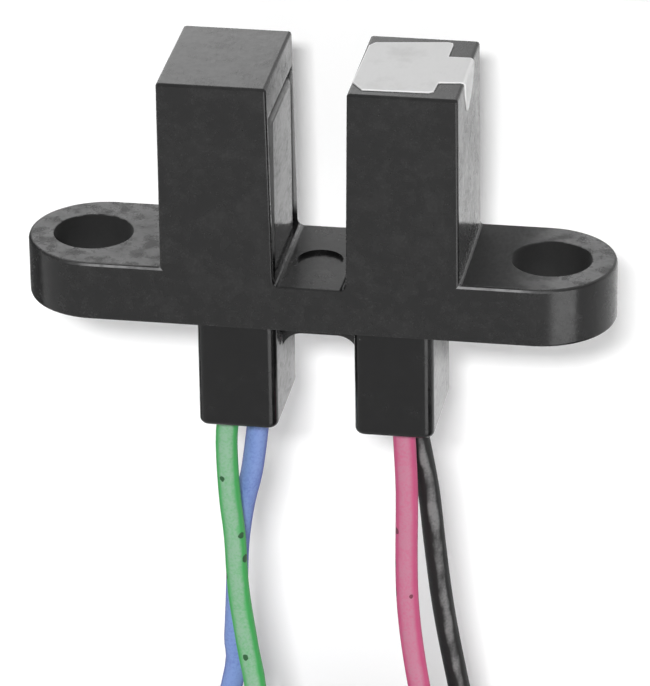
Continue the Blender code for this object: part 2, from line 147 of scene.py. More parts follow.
class NodeBook:
    """A node tree, with short ways to add to it."""

    def __init__(self, tree: bpy.types.NodeTree) -> None:
        """Keeps the tree."""
        self.tree = tree

    def feed(self, socket: Socket, amount: object) -> None:
        """Links or sets one input.

        Args:
            socket: The input.
            amount: A value, a socket, a number or a colour.
        """
        source = amount.socket if isinstance(amount, Value) else amount
        if isinstance(source, Socket):
            self.tree.links.new(source, socket)
        elif socket.type == "RGBA":
            socket.default_value = (*source, 1.0)
        else:
            socket.default_value = source

    def node(self, kind: str, settings: Slots = None, inputs: Slots = None) -> bpy.types.Node:
        """Adds any node.

        Args:
            kind: The node's type.
            settings: Its properties, set first.
            inputs: Numbers, colours or links for its sockets, by name or index.

        Returns:
            The node.
        """
        made = self.tree.nodes.new(kind)
        for name, setting in (settings or {}).items():
            setattr(made, name, setting)
        for name, amount in (inputs or {}).items():
            self.feed(made.inputs[name], amount)
        return made

    def value(self, output: Name, kind: str, settings: Slots = None, inputs: Slots = None) -> Value:
        """One output of a new node, as a value."""
        return Value(self, self.node(kind, settings, inputs).outputs[output])

    def seen(self) -> Value:
        """1 on rays for the eye, direct, mirrored or through resin, and 0 on rays for light."""
        rays = self.node("ShaderNodeLightPath").outputs
        camera, gloss, through = (
            Value(self, rays[f"Is {kind} Ray"]) for kind in ("Camera", "Glossy", "Transmission")
        )
        return camera | gloss | through


class FinishBook(NodeBook):
    """One material and the nodes that shape it."""

    def __init__(self, name: str, plain: Mapping[str, object]) -> None:
        """Starts a material.

        Args:
            name: The material's name.
            plain: What is the same all over the surface, by the shader's socket names.
        """
        self.material = bpy.data.materials.new(name)
        self.material.use_nodes = True
        super().__init__(self.material.node_tree)
        self.shader = self.tree.nodes["Principled BSDF"]
        self.dress(plain)

    def dress(self, inputs: Mapping[str, object]) -> None:
        """Feeds the shader's inputs by their names."""
        for socket, amount in inputs.items():
            self.feed(self.shader.inputs[socket], amount)

    def place(self, stretch: Point = EVEN) -> Socket:
        """The object's own coordinates, with a scale for each axis."""
        own = self.node("ShaderNodeTexCoord").outputs["Object"]
        ends = {"Vector": own, "Scale": stretch}
        return own if stretch == EVEN else self.node("ShaderNodeMapping", {}, ends).outputs[0]

    def axes(self) -> tuple[Value, Value, Value]:
        """The object's own coordinates, one by one."""
        split = self.node("ShaderNodeSeparateXYZ", {}, {"Vector": self.place()})
        return tuple(Value(self, output) for output in split.outputs)

    def facing(self, direction: Point) -> Value:
        """The cosine between the surface's normal and a direction in the object's own space."""
        ends = {0: self.node("ShaderNodeTexCoord").outputs["Normal"], 1: direction}
        return self.value("Value", "ShaderNodeVectorMath", {"operation": "DOT_PRODUCT"}, ends)

    def attribute(self, name: str) -> Value:
        """A value that is stored on the mesh."""
        return self.value("Fac", "ShaderNodeAttribute", {"attribute_name": name})

    def noise(self, size: float, detail: float = 3.0, stretch: Point = EVEN) -> Value:
        """Fractal noise about 0.5: its features' size in metres, its octaves, a scale per axis."""
        inputs = {"Vector": self.place(stretch), "Scale": 1 / size, "Detail": detail}
        return self.value(0, "ShaderNodeTexNoise", {}, inputs)

    def specks(self, spacing: float, radius: float, share: float) -> Value:
        """Scattered round specks.

        Args:
            spacing: The mean distance between places where one may lie, in metres.
            radius: A speck's radius, in metres.
            share: The share of the places that have one.

        Returns:
            A mask that is 1 in a speck.
        """
        grid = {"Vector": self.place(), "Scale": 1 / spacing}
        cells = self.node("ShaderNodeTexVoronoi", {}, grid).outputs
        pick = self.value(0, "ShaderNodeSeparateColor", {}, {"Color": cells["Color"]})
        near = Value(self, cells["Distance"]).step(radius / spacing, 0.6 * radius / spacing)
        return near * pick.step(1 - share, 1 - share + 0.01)

    def blend(self, factor: "Value | float", first: object, second: object) -> Socket:
        """A mix of two colours or their sockets, by the share of the second."""
        ends = {0: factor, 6: first, 7: second}
        return self.node("ShaderNodeMix", {"data_type": "RGBA"}, ends).outputs[2]

    def finish(self, colour: Socket, roughness: Value, height: Value, relief: float) -> Material:
        """Feeds the shader what varies over the surface.

        Args:
            colour: The base colour.
            roughness: The roughness.
            height: The surface's fine height, from 0 to 1.
            relief: The depth of that height, in metres.

        Returns:
            The finished material.
        """
        fine = {"Height": height, "Distance": relief, "Strength": 1.0}
        bump = self.node("ShaderNodeBump", {}, fine).outputs[0]
        self.dress({"Base Color": colour, "Roughness": roughness, "Normal": bump})
        return self.material


@dataclass(frozen=True)
class MouldedPlastic:
    """Black moulded plastic: fine grain, flow mottling and sparse pale specks, with painted light
    in recesses and, on the housing, scuffs mixed with painted light and painted edge highlights.

    Its spans are distances in the object's own space between which a mask goes from 0 to 1.
    """

    name: str
    shade: Colour
    worn_shade: Colour
    roughness: float
    swing: float
    grain: float
    relief: float
    mottle: float
    waviness: float
    reflectance: float
    bloom: float
    scuffed_and_painted: bool = False
    scuff_and_light_shade: Colour = (0.125, 0.125, 0.126)
    edge_highlight_shade: Colour = (0.22, 0.22, 0.222)
    bore_shade: Colour = (0.03, 0.03, 0.03)
    recess_light_shade: Colour = (0.23, 0.23, 0.23)
    speck_shade: Colour = (0.3, 0.3, 0.3)
    recess_light_span: Span = (2.5 * MM, 3.3 * MM)
    edge_highlight_span: Span = (10.6 * MM, 8.2 * MM)
    shaded_middle: float = 4.0 * MM
    shaded_span: Span = (3.7 * MM, 6.5 * MM)

    def build(self) -> Material:
        """Builds the material.

        Returns:
            The material.
        """
        plain = {
            "Specular IOR Level": self.reflectance,
            "Sheen Weight": self.bloom,
            "Sheen Roughness": 0.4,
        }
        book = FinishBook(self.name, plain)
        grain = book.noise(self.grain)
        speckle = book.noise(1.6 * self.grain, stretch=(1.0, 0.35, 1.0))
        mottle = book.noise(self.mottle, 4.0)
        flow = book.noise(4 * self.mottle)
        pale = mottle.step(0.4, 0.75) * 0.5 + flow.step(0.4, 0.7) * 0.5
        shade = book.blend(pale, self.shade, self.worn_shade)
        rough = self.roughness + speckle.about(self.swing)
        rough = rough + mottle.about(0.15) + flow.about(0.25)
        # Painted light: recess faces above a height are painted a paler grey, standing in for light
        # in the window's grooves.
        painted_recess_light = book.attribute("recess") * book.axes()[2].step(*self.recess_light_span)
        shade = book.blend(painted_recess_light * (0.5 + mottle), shade, self.recess_light_shade)
        if self.scuffed_and_painted:
            shade, rough = self.scuff_and_paint_light(book, shade, rough)
        colour = book.blend(book.specks(2.1 * MM, 0.06 * MM, 0.2) * 0.8, shade, self.speck_shade)
        height = grain + mottle * (self.waviness / self.relief)
        return book.finish(colour, rough, height, self.relief)

    def scuff_and_paint_light(self, book: FinishBook, shade: Socket, rough: Value) -> tuple[Socket, Value]:
        """Paints scuffs and light on the flange's upper face, save near the right arm where its
        shade falls; paints highlights along some rounded edges; and dulls the bores.

        Args:
            book: The material in the making.
            shade: Its colour so far.
            rough: Its roughness so far.

        Returns:
            The colour and the roughness with the scuffs, the painted light and the painted
            highlights.
        """
        top, bore, edge = (book.attribute(name) for name in ("top", "bore", "edge"))
        x = book.axes()[0]
        # Painted light: the flange's top is painted paler except near the right arm, where that
        # arm's shade falls; the scuff noise breaks it up.
        ends = top * abs(x - self.shaded_middle).step(*self.shaded_span)
        cloudy = (book.noise(0.6 * MM) + 0.03).step(0.34, 0.62)
        scuff_and_painted_light = ends * (cloudy * (0.35 + book.noise(0.2 * MM) * 1.2))
        ragged = 0.45 + book.noise(0.7 * MM).step(0.35, 0.6) * 0.55
        # Painted highlights: the listed rounded edges are painted pale, fading out towards the
        # flange's ends.
        painted_edge_highlight = edge * abs(x).step(*self.edge_highlight_span) * ragged
        shade = book.blend(scuff_and_painted_light, shade, self.scuff_and_light_shade)
        shade = book.blend(painted_edge_highlight, shade, self.edge_highlight_shade)
        shade = book.blend(bore * 0.5, shade, self.bore_shade)
        return shade, rough + scuff_and_painted_light * 0.1 + bore * 0.5 + (top - ends) * 0.4


@dataclass(frozen=True)
class Vinyl:
    """Extruded vinyl insulation, grainy, with a painted highlight on the side that faces a given
    direction and stray dark specks.
    """

    name: str
    colour: Colour
    painted_highlight: Colour
    speck: Colour
    specks: float = 0.0
    # front is the direction that the painted highlight faces, and the band after it the cosines
    # over which it comes in.
    front: Point = (0.035, -0.999, 0.0)
    highlight_band: Span = (0.6, 0.98)
    graininess: float = 1.6
    shine: float = 0.4
    roughness: float = 0.55

    def build(self) -> Material:
        """Builds the material.

        Returns:
            The material.
        """
        book = FinishBook(self.name, {"Specular IOR Level": self.shine})
        fine = book.noise(0.11 * MM)
        drag = book.noise(0.4 * MM, stretch=(1.0, 1.0, 0.3))
        cloud = book.noise(1.2 * MM, 4.0)
        speck = book.specks(0.8 * MM, 0.24 * MM, self.specks)
        ragged = (speck * (0.2 + book.noise(0.14 * MM, 2.0) * 1.3)).step(0.35, 0.6)
        # Painted highlight: a pale band on the side facing front, broken by noise.
        front = book.facing(self.front) + drag.about(0.3) + cloud.about(0.2)
        uneven = 0.9 + fine.about(self.graininess) + cloud.about(0.8)
        body = book.blend(front.step(*self.highlight_band) * uneven, self.colour, self.painted_highlight)
        colour = book.blend(ragged, body, self.speck)
        roughness = self.roughness + drag.about(0.25) + fine.about(0.2)
        return book.finish(colour, roughness, drag * 0.5 + fine * 0.5 - speck * 0.3, 0.012 * MM)


@dataclass(frozen=True)
class LabelFilm:
    """Pale grey film, whiter along its outline, with painted light on its folded tab, faint fibres
    and smudges.
    """

    name: str = "label_film"
    colour: Colour = (0.76, 0.76, 0.76)
    rim_and_flap_light_colour: Colour = (0.98, 0.98, 0.98)
    smudge_colour: Colour = (0.5, 0.5, 0.49)
    flap_light_span: Span = (6.02 * MM, 6.12 * MM)
    relief: float = 0.006 * MM

    def build(self) -> Material:
        """Builds the material.

        Returns:
            The material.
        """
        book = FinishBook(self.name, {"Specular IOR Level": 0.3})
        fibre = book.noise(0.12 * MM, stretch=(1.0, 0.3, 1.0))
        smudge = book.noise(1.3 * MM, 4.0).step(0.5, 0.8)
        mottled = book.blend(smudge * 0.4 + fibre.about(0.2), self.colour, self.smudge_colour)
        rim = book.attribute("rim").step(0.25, 0.95)
        # Painted light: the fold and the tab down the arm's side are painted whiter, standing in
        # for light from the right.
        painted_flap_light = book.axes()[0].step(*self.flap_light_span)
        colour = book.blend(rim * 0.85 | painted_flap_light * 0.9, mottled, self.rim_and_flap_light_colour)
        height = fibre * 0.6 + smudge * 0.4
        return book.finish(colour, 0.55 + fibre.about(0.2), height, self.relief)


@dataclass(frozen=True)
class TinnedMetal:
    """Tinned copper or solder: bright, slightly uneven metal with duller flux stains."""

    name: str
    colour: Colour = (0.72, 0.71, 0.68)
    stain: Colour = (0.45, 0.42, 0.36)
    roughness: float = 0.28
    relief: float = 0.01 * MM

    def build(self) -> Material:
        """Builds the material.

        Returns:
            The material.
        """
        book = FinishBook(self.name, {"Metallic": 1.0})
        ripple = book.noise(0.18 * MM)
        stain = book.noise(0.7 * MM, 4.0).step(0.5, 0.8)
        colour = book.blend(stain * 0.5, self.colour, self.stain)
        rough = self.roughness + ripple * 0.15 + stain * 0.2
        return book.finish(colour, rough, ripple, self.relief)


@dataclass(frozen=True)
class CastResin:
    """Cast or moulded epoxy: glossy, faintly rippled, with tiny pits."""

    name: str
    colour: Colour = (0.012, 0.012, 0.013)
    tint: Colour = (0.03, 0.03, 0.031)
    roughness: float = 0.2
    transmission: float = 0.0
    relief: float = 0.03 * MM

    def build(self) -> Material:
        """Builds the material.

        Returns:
            The material.
        """
        book = FinishBook(self.name, {"IOR": 1.54, "Transmission Weight": self.transmission})
        ripple = book.noise(0.8 * MM)
        pit = book.specks(0.6 * MM, 0.05 * MM, 0.4)
        colour = book.blend(ripple.step(0.35, 0.7) * 0.4, self.colour, self.tint)
        rough = self.roughness + ripple.about(0.1)
        return book.finish(colour, rough, ripple - pit * 0.5, self.relief)


@dataclass(frozen=True)
class TieNylon:
    """Black nylon strap with fine draw lines along it."""

    name: str = "tie_nylon"
    colour: Colour = (0.022, 0.022, 0.023)
    pale: Colour = (0.05, 0.05, 0.052)
    relief: float = 0.02 * MM

    def build(self) -> Material:
        """Builds the material.

        Returns:
            The material.
        """
        book = FinishBook(self.name, {"Specular IOR Level": 0.5})
        lines = book.noise(0.25 * MM, stretch=(0.12, 0.12, 1.0))
        haze = book.noise(1.5 * MM)
        colour = book.blend(haze.step(0.4, 0.75) * 0.6, self.colour, self.pale)
        return book.finish(colour, 0.38 + lines.about(0.3), lines, self.relief)


@dataclass(frozen=True)
class StudioPaper:
    """Paper for the stage: the lift makes it white to the eye, save where the object shades it."""

    name: str
    albedo: float
    lift: float = 0.0
    one_sided: bool = False

    def build(self) -> Material:
        """Builds the material.

        Returns:
            The material.
        """
        plain = {"Base Color": (self.albedo,) * 3, "Roughness": 0.9, "Specular IOR Level": 0.0}
        book = FinishBook(self.name, plain)
        book.dress({"Emission Color": WHITE, "Emission Strength": book.seen() * self.lift})
        if self.one_sided:
            back = book.node("ShaderNodeNewGeometry").outputs["Backfacing"]
            clear = book.node("ShaderNodeBsdfTransparent").outputs[0]
            ends = {0: back, 1: book.shader.outputs[0], 2: clear}
            mixed = book.node("ShaderNodeMixShader", {}, ends)
            book.feed(book.tree.nodes["Material Output"].inputs["Surface"], mixed.outputs[0])
        return book.material


def linked(name: str, data: bpy.types.ID) -> Piece:
    """Adds an object to the scene and logs it.

    Args:
        name: Its name.
        data: What it shows.

    Returns:
        The object.
    """
    made = bpy.data.objects.new(name, data)
    bpy.context.scene.collection.objects.link(made)
    LOG.info("built %s", name)
    return made


def object_from(work: Mesh, name: str, material: Material, sharp: float = 32.0) -> Piece:
    """Makes a piece of a bmesh.

    Args:
        work: The finished bmesh, which is freed.
        name: The piece's name.
        material: Its finish.
        sharp: The angle in degrees above which an edge stays sharp.

    Returns:
        The piece, at the origin.
    """
    mesh = bpy.data.meshes.new(name)
    work.to_mesh(mesh)
    work.free()
    mesh.materials.append(material)
    mesh.shade_smooth()
    mesh.set_sharp_from_angle(angle=math.radians(sharp))
    return linked(name, mesh)


def even_normals(piece: Piece) -> None:
    """Keeps flat faces flat beside their rounded edges."""
    step = piece.modifiers.new("even normals", "WEIGHTED_NORMAL")
    step.keep_sharp = True
    step.weight = 80


def middle_of(face: Face) -> Vector:
    """The middle of a face, in millimetres."""
    return face.calc_center_median() / MM


def outermost(work: Mesh, axis: int) -> Face:
    """The face farthest down an axis."""
    return min(work.faces, key=lambda face: face.calc_center_median()[axis])


def proud_edges(work: Mesh) -> list[Edge]:
    """The edges at which two faces meet at more than the proud angle."""
    return [edge for edge in work.edges if edge.calc_face_angle(0.0) > PROUD]


def rounded(work: Mesh, parts: Iterable, radius: float, segments: int, kind: str = "EDGES") -> None:
    """Rounds edges to a radius by some facets, or corners of a flat face if kind is VERTICES."""
    shape = {"offset": radius, "offset_type": "OFFSET", "segments": segments, "profile": 0.5}
    bmesh.ops.bevel(work, geom=list(parts), affect=kind, material=-1, **shape)


def inset(work: Mesh, face: Face, thickness: float, depth: float = 0.0) -> None:
    """Draws a face in by an even thickness and out by a depth."""
    drawn = {"thickness": thickness, "depth": depth, "use_even_offset": True}
    bmesh.ops.inset_region(work, faces=[face], **drawn)


def extruded(work: Mesh, faces: list[Face], by: float) -> None:
    """Extrudes faces along Z.

    Args:
        work: The bmesh.
        faces: The faces.
        by: How far they move.
    """
    made = bmesh.ops.extrude_face_region(work, geom=faces)["geom"]
    ends = [part for part in made if isinstance(part, bmesh.types.BMVert)]
    bmesh.ops.translate(work, vec=(0, 0, by), verts=ends)


def block(size: Sequence[float], centre: Sequence[float]) -> Mesh:
    """A block.

    Args:
        size: Its size along each axis.
        centre: Its middle.

    Returns:
        A new bmesh.
    """
    work = bmesh.new()
    bmesh.ops.create_cube(work, size=1.0)
    bmesh.ops.scale(work, vec=size, verts=work.verts)
    bmesh.ops.translate(work, vec=centre, verts=work.verts)
    return work


@dataclass(frozen=True)
class HighlightEdge:
    """A rounded edge that carries a painted highlight, by where the middles of its faces lie in
    millimetres.
    """

    out: Span
    up: Span
    highlight_share: float
    front: bool = False

    def holds(self, face: Face) -> bool:
        """Whether a face belongs to the edge.

        Args:
            face: A face of the housing.

        Returns:
            True if its middle is in range and it faces the right way.
        """
        middle = middle_of(face)
        placed = within(abs(middle.x), self.out) and within(middle.z, self.up)
        slanted = within(abs(face.normal.z), (0.2, 0.98))
        return placed and slanted and (face.normal.y < -0.5 or not self.front)


@dataclass
class Housing:
    """The fork, its bridge and its flange, with softened screw holes."""

    hole_places: tuple[float, ...] = (-9.525 * MM, 9.525 * MM)
    hole_radius: float = 1.65 * MM
    rim: float = 0.06 * MM
    flange_top: Span = (2.5, 2.6)
    window: tuple[Span, Span, Span] = ((1.57, 2.3), (-2.9, 2.9), (2.2, 9.25))
    highlight_edges: tuple[HighlightEdge, ...] = (
        HighlightEdge(out=(6.0, 13.0), up=(2.38, 2.5), highlight_share=1.0, front=True),
        HighlightEdge(out=(6.1, 6.2), up=(2.5, 2.7), highlight_share=0.5),
        HighlightEdge(out=(1.35, 1.42), up=(2.0, 2.2), highlight_share=0.7),
    )
    finish: MouldedPlastic = MouldedPlastic(
        name="housing_plastic",
        shade=(0.006, 0.006, 0.0061),
        worn_shade=(0.014, 0.014, 0.014),
        roughness=0.23,
        swing=0.2,
        grain=0.075 * MM,
        relief=0.0018 * MM,
        mottle=0.36 * MM,
        waviness=0.005 * MM,
        reflectance=0.29,
        bloom=0.04,
        scuffed_and_painted=True,
    )

    def from_hole(self, place: Vector) -> float:
        """How far a place is from the axis of the nearer screw hole."""
        return min(math.hypot(place.x - x, place.y) for x in self.hole_places)

    def on_rim(self, edge: Edge) -> bool:
        """Whether a proud edge is on the mouth of a screw hole."""
        return all(abs(self.from_hole(v.co) - self.hole_radius) < 0.02 * MM for v in edge.verts)

    def masks(self, face: Face) -> dict[str, float]:
        """What the finish has to know of a face.

        Args:
            face: A face of the housing.

        Returns:
            How far it has a painted edge highlight, is a bore, the flange's top or the inside of a
            window.
        """
        middle = middle_of(face)
        upright = abs(face.normal.z) < 0.5
        inside = all(map(within, (abs(middle.x), middle.y, middle.z), self.window))
        on_top = face.normal.z > 0.98 and within(middle.z, self.flange_top)
        return {
            # The edge mask carries the painted edge highlights.
            "edge": next((edge.highlight_share for edge in self.highlight_edges if edge.holds(face)), 0.0),
            "bore": float(upright and self.from_hole(middle * MM) < self.hole_radius),
            "top": float(on_top),
            # The recess mask carries the painted light in the window.
            "recess": float(inside),
        }

    def build(self) -> None:
        """Builds and dresses the housing."""
        work = bmesh.new()
        work.from_mesh(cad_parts["housing"].data)
        bmesh.ops.remove_doubles(work, verts=work.verts, dist=0.0005 * MM)
        whole = {"verts": work.verts, "edges": work.edges, "use_dissolve_boundaries": False}
        bmesh.ops.dissolve_limit(work, angle_limit=math.radians(0.6), **whole)
        stored = work.faces.layers.float
        layers = {name: stored.new(name) for name in ("edge", "bore", "top", "recess")}
        for face in work.faces:
            for name, amount in self.masks(face).items():
                face[layers[name]] = amount
        rounded(work, [edge for edge in proud_edges(work) if self.on_rim(edge)], self.rim, 3)
        piece = object_from(work, "fork_housing", self.finish.build())
        even_normals(piece)
        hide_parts("housing")
        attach(piece, "root")


@dataclass
class OpticalCup:
    """One glossy cup, pushed up into its arm, and the resin that closes it."""

    side: Side
    middle: float = 3.26 * MM
    set_back: float = 0.35 * MM
    width: float = 3.3 * MM
    depth: float = 4.9 * MM
    top: float = 8.85 * MM
    reach: float = 5.05 * MM
    corner: float = 0.45 * MM
    edge: float = 0.25 * MM
    wall: float = 0.4 * MM
    resin_lip: float = 0.1 * MM
    resin_top: float = 0.4 * MM
    resin_steps: tuple[Span, ...] = (
        (0.04 * MM, 0.07 * MM),
        (0.07 * MM, 0.05 * MM),
        (0.12 * MM, 0.03 * MM),
        (0.2 * MM, 0.015 * MM),
    )
    finish: MouldedPlastic = MouldedPlastic(
        name="cup_plastic",
        shade=(0.004, 0.004, 0.0042),
        worn_shade=(0.007, 0.007, 0.0072),
        roughness=0.16,
        swing=0.35,
        grain=0.08 * MM,
        relief=0.003 * MM,
        mottle=0.5 * MM,
        waviness=0.004 * MM,
        reflectance=0.24,
        bloom=0.06,
    )
    resin: CastResin = CastResin("potting_resin")

    def slab(self, inwards: float, low: float, high: float, corner: float) -> Mesh:
        """A block in the cup's plan with rounded upright edges.

        Args:
            inwards: How far its sides lie inside the cup's.
            low: Z of its underside.
            high: Z of its top.
            corner: The radius of the upright edges.

        Returns:
            A new bmesh.
        """
        size = (self.width - 2 * inwards, self.depth - 2 * inwards, high - low)
        work = block(size, (self.side.value * self.middle, self.set_back, (low + high) / 2))
        tall = (high - low) / 2
        upright = [e for e in work.edges if abs(e.verts[0].co.z - e.verts[1].co.z) > tall]
        rounded(work, upright, corner, 8)
        return work

    def build(self) -> None:
        """Builds and dresses the cup and the meniscus of its potting."""
        key = self.side.name.lower()
        self.shell(f"{key}_cup")
        self.meniscus(f"{key}_potting")

    def shell(self, node: str) -> None:
        """The cup: a rounded block hollowed from below.

        Args:
            node: The CAD node that it replaces.
        """
        work = self.slab(0.0, -self.reach, self.top, self.corner)
        rounded(work, proud_edges(work), self.edge, 5)
        mouth = outermost(work, 2)
        inset(work, mouth, self.wall - self.edge)
        extruded(work, [mouth], self.top + self.reach - self.wall)
        bmesh.ops.delete(work, geom=[mouth], context="FACES_ONLY")
        bmesh.ops.recalc_face_normals(work, faces=work.faces)
        # Faces that face neither along X nor along Z are marked, and the finish paints light on
        # them above a height.
        recess = work.faces.layers.float.new("recess")
        for face in work.faces:
            slanted = abs(face.normal.x) < 0.97 and abs(face.normal.z) < 0.9
            face[recess] = float(slanted)
        piece = object_from(work, f"{node}_shell", self.finish.build(), 50.0)
        even_normals(piece)
        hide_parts(node)
        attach(piece, "root")

    def meniscus(self, node: str) -> None:
        """The resin's lower surface, drawn down along the cup's wall.

        Args:
            node: The CAD node that it lies on.
        """
        low, high = -self.reach + self.resin_lip, -self.reach + self.resin_top
        work = self.slab(self.wall, low, high, self.corner - self.wall / 2)
        surface = outermost(work, 2)
        for thickness, rise in self.resin_steps:
            inset(work, surface, thickness, -rise)
        piece = object_from(work, f"{node}_meniscus", self.resin.build(), 60.0)
        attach(piece, "root")


@dataclass
class MarkerLabel:
    """A thin film stuck on the emitter's arm, its tab folded down over the outer edge."""

    thickness: float = 0.08 * MM
    lift: float = 0.015 * MM
    arm_top: float = 10.7 * MM
    arm_side: float = 6.13 * MM
    arm_edge: float = 0.13 * MM
    draft: float = 0.0025
    border: float = 0.1 * MM
    bends: int = 8
    outline: tuple[Span, ...] = (
        (1.76, 1.85), (1.98, 2.18), (4.90, 2.59), (5.10, 2.52), (5.15, 2.32), (5.13, 1.12),
        (6.10, 1.14), (6.55, 1.02), (7.00, 0.72), (7.35, 0.22), (7.66, -0.62), (7.56, -0.80),
        (6.75, -1.18), (6.05, -1.36), (5.12, -1.48), (5.06, -2.38), (4.86, -2.51), (2.19, -2.59),
        (1.70, -1.92),
    )
    finish: LabelFilm = LabelFilm()

    def build(self) -> None:
        """Builds and dresses the label."""
        work = bmesh.new()
        corners = [work.verts.new((x * MM, y * MM, 0)) for x, y in reversed(self.outline)]
        sheet = work.faces.new(corners)
        sheet.normal_update()
        rim = work.verts.layers.float.new("rim")
        for vertex in work.verts:
            vertex[rim] = 1.0
        border = {"thickness": self.border, "use_even_offset": True}
        bmesh.ops.inset_individual(work, faces=[sheet], **border)
        for vertex in sheet.verts:
            vertex[rim] = 0.0
        radius = self.arm_edge + self.lift + self.thickness / 2
        start = self.arm_side - self.arm_edge
        arc = radius * math.pi / 2
        for share in shares(self.bends):
            plane = {"plane_co": (start + arc * share, 0, 0), "plane_no": (1, 0, 0)}
            geometry = [*work.verts, *work.edges, *work.faces]
            bmesh.ops.bisect_plane(work, geom=geometry, dist=0.001 * MM, **plane)
        for vertex in work.verts:
            vertex.co = self.folded(vertex.co, start, radius, arc)
        bmesh.ops.recalc_face_normals(work, faces=work.faces)
        bmesh.ops.solidify(work, geom=list(work.faces), thickness=self.thickness)
        bmesh.ops.recalc_face_normals(work, faces=work.faces)
        piece = object_from(work, "folded_label", self.finish.build(), 40.0)
        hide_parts("marker_label")
        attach(piece, "root")

    def folded(self, flat: Vector, start: float, radius: float, arc: float) -> Vector:
        """Where a point of the flat film lies once the tab is folded.

        Args:
            flat: The point on the flat film.
            start: X at which the fold starts.
            radius: The fold's radius at the film's middle.
            arc: The length of film in the fold.

        Returns:
            The point on the arm.
        """
        level = self.arm_top - self.arm_edge
        past = flat.x - start
        if past <= 0:
            return Vector((flat.x, flat.y, level + radius))
        if past > arc:
            drop = past - arc
            return Vector((start + radius + self.draft * drop, flat.y, level - drop))
        out, up = math.sin(past / radius), math.cos(past / radius)
        return Vector((start + radius * out, flat.y, level + radius * up))


@dataclass(frozen=True)
class Hank:
    """Where the wound leads lie: flat double spirals, one pair of layers for each lead."""

    upper_fold: float = -30.135 * MM
    lower_fold: float = -45.235 * MM
    inner_radius: float = 2.8 * MM
    turns: float = 4.5
    pitch: float = 0.97 * MM
    layers: int = 8
    fold_points: int = 14
    run_points: int = 5
    shoulder_points: int = 8
    last_points: int = 6

    @property
    def outer_radius(self) -> float:
        """The middle of the outermost turn."""
        return self.inner_radius + self.turns * self.pitch

    def layer(self, number: int) -> float:
        """Y of a layer."""
        return (number - (self.layers - 1) / 2) * self.pitch

    def shoulder(self, start: Vector, side: int) -> float:
        """The angle on the upper fold at which a lead that comes straight from start touches it.

        Args:
            start: The last free point of the lead.
            side: The sign of X of the lead's cup.

        Returns:
            The angle, in radians from +X.
        """
        above = start.z - self.upper_fold
        distance = math.hypot(start.x, above)
        return math.atan2(above, start.x) - side * math.acos(self.outer_radius / distance)

    @staticmethod
    def on_fold(fold: float, angle: float, radius: float, y: float) -> Vector:
        """A point on a fold."""
        return Vector((radius * math.cos(angle), y, fold + radius * math.sin(angle)))

    def winding(self, start: Vector, side: int, entry: int) -> list[Vector]:
        """The lead's way through the hank.

        Args:
            start: The last free point of the lead.
            side: The sign of X of the lead's cup.
            entry: The layer that it winds inwards in.

        Returns:
            Points from the shoulder to where the lead leaves the lower fold.
        """
        front, back = self.layer(entry), self.layer(entry + 1)
        touch = self.shoulder(start, side)
        level = 0.0 if side > 0 else math.pi
        points = [
            self.on_fold(self.upper_fold, touch + (level - touch) * share, self.outer_radius, front)
            for share in shares(self.shoulder_points)
        ]
        folds = (self.upper_fold, self.lower_fold)
        halves = round(2 * self.turns)
        for half in range(2 * halves):
            inwards, down = half < halves, half % 2 == 0
            y = front if inwards else back
            turned = half if inwards else 2 * halves - half
            radius = self.outer_radius - self.pitch * turned / 2
            flank = side if down else -side
            top, bottom = folds if down else reversed(folds)
            step_back = back - front if half == halves else 0.0
            for share in shares(self.run_points)[1:-1]:
                across = y - step_back * (1 - share)
                points.append(Vector((flank * radius, across, top + (bottom - top) * share)))
            change = -self.pitch / 2 if inwards else self.pitch / 2
            begin = 0.0 if flank > 0 else math.pi
            for share in shares(self.fold_points):
                angle = begin - side * math.pi * share
                points.append(self.on_fold(bottom, angle, radius + change * share, y))
        for share in shares(self.last_points)[1:]:
            z = self.upper_fold + (self.lower_fold - self.upper_fold) * share
            points.append(Vector((side * self.outer_radius, back, z)))
        return points


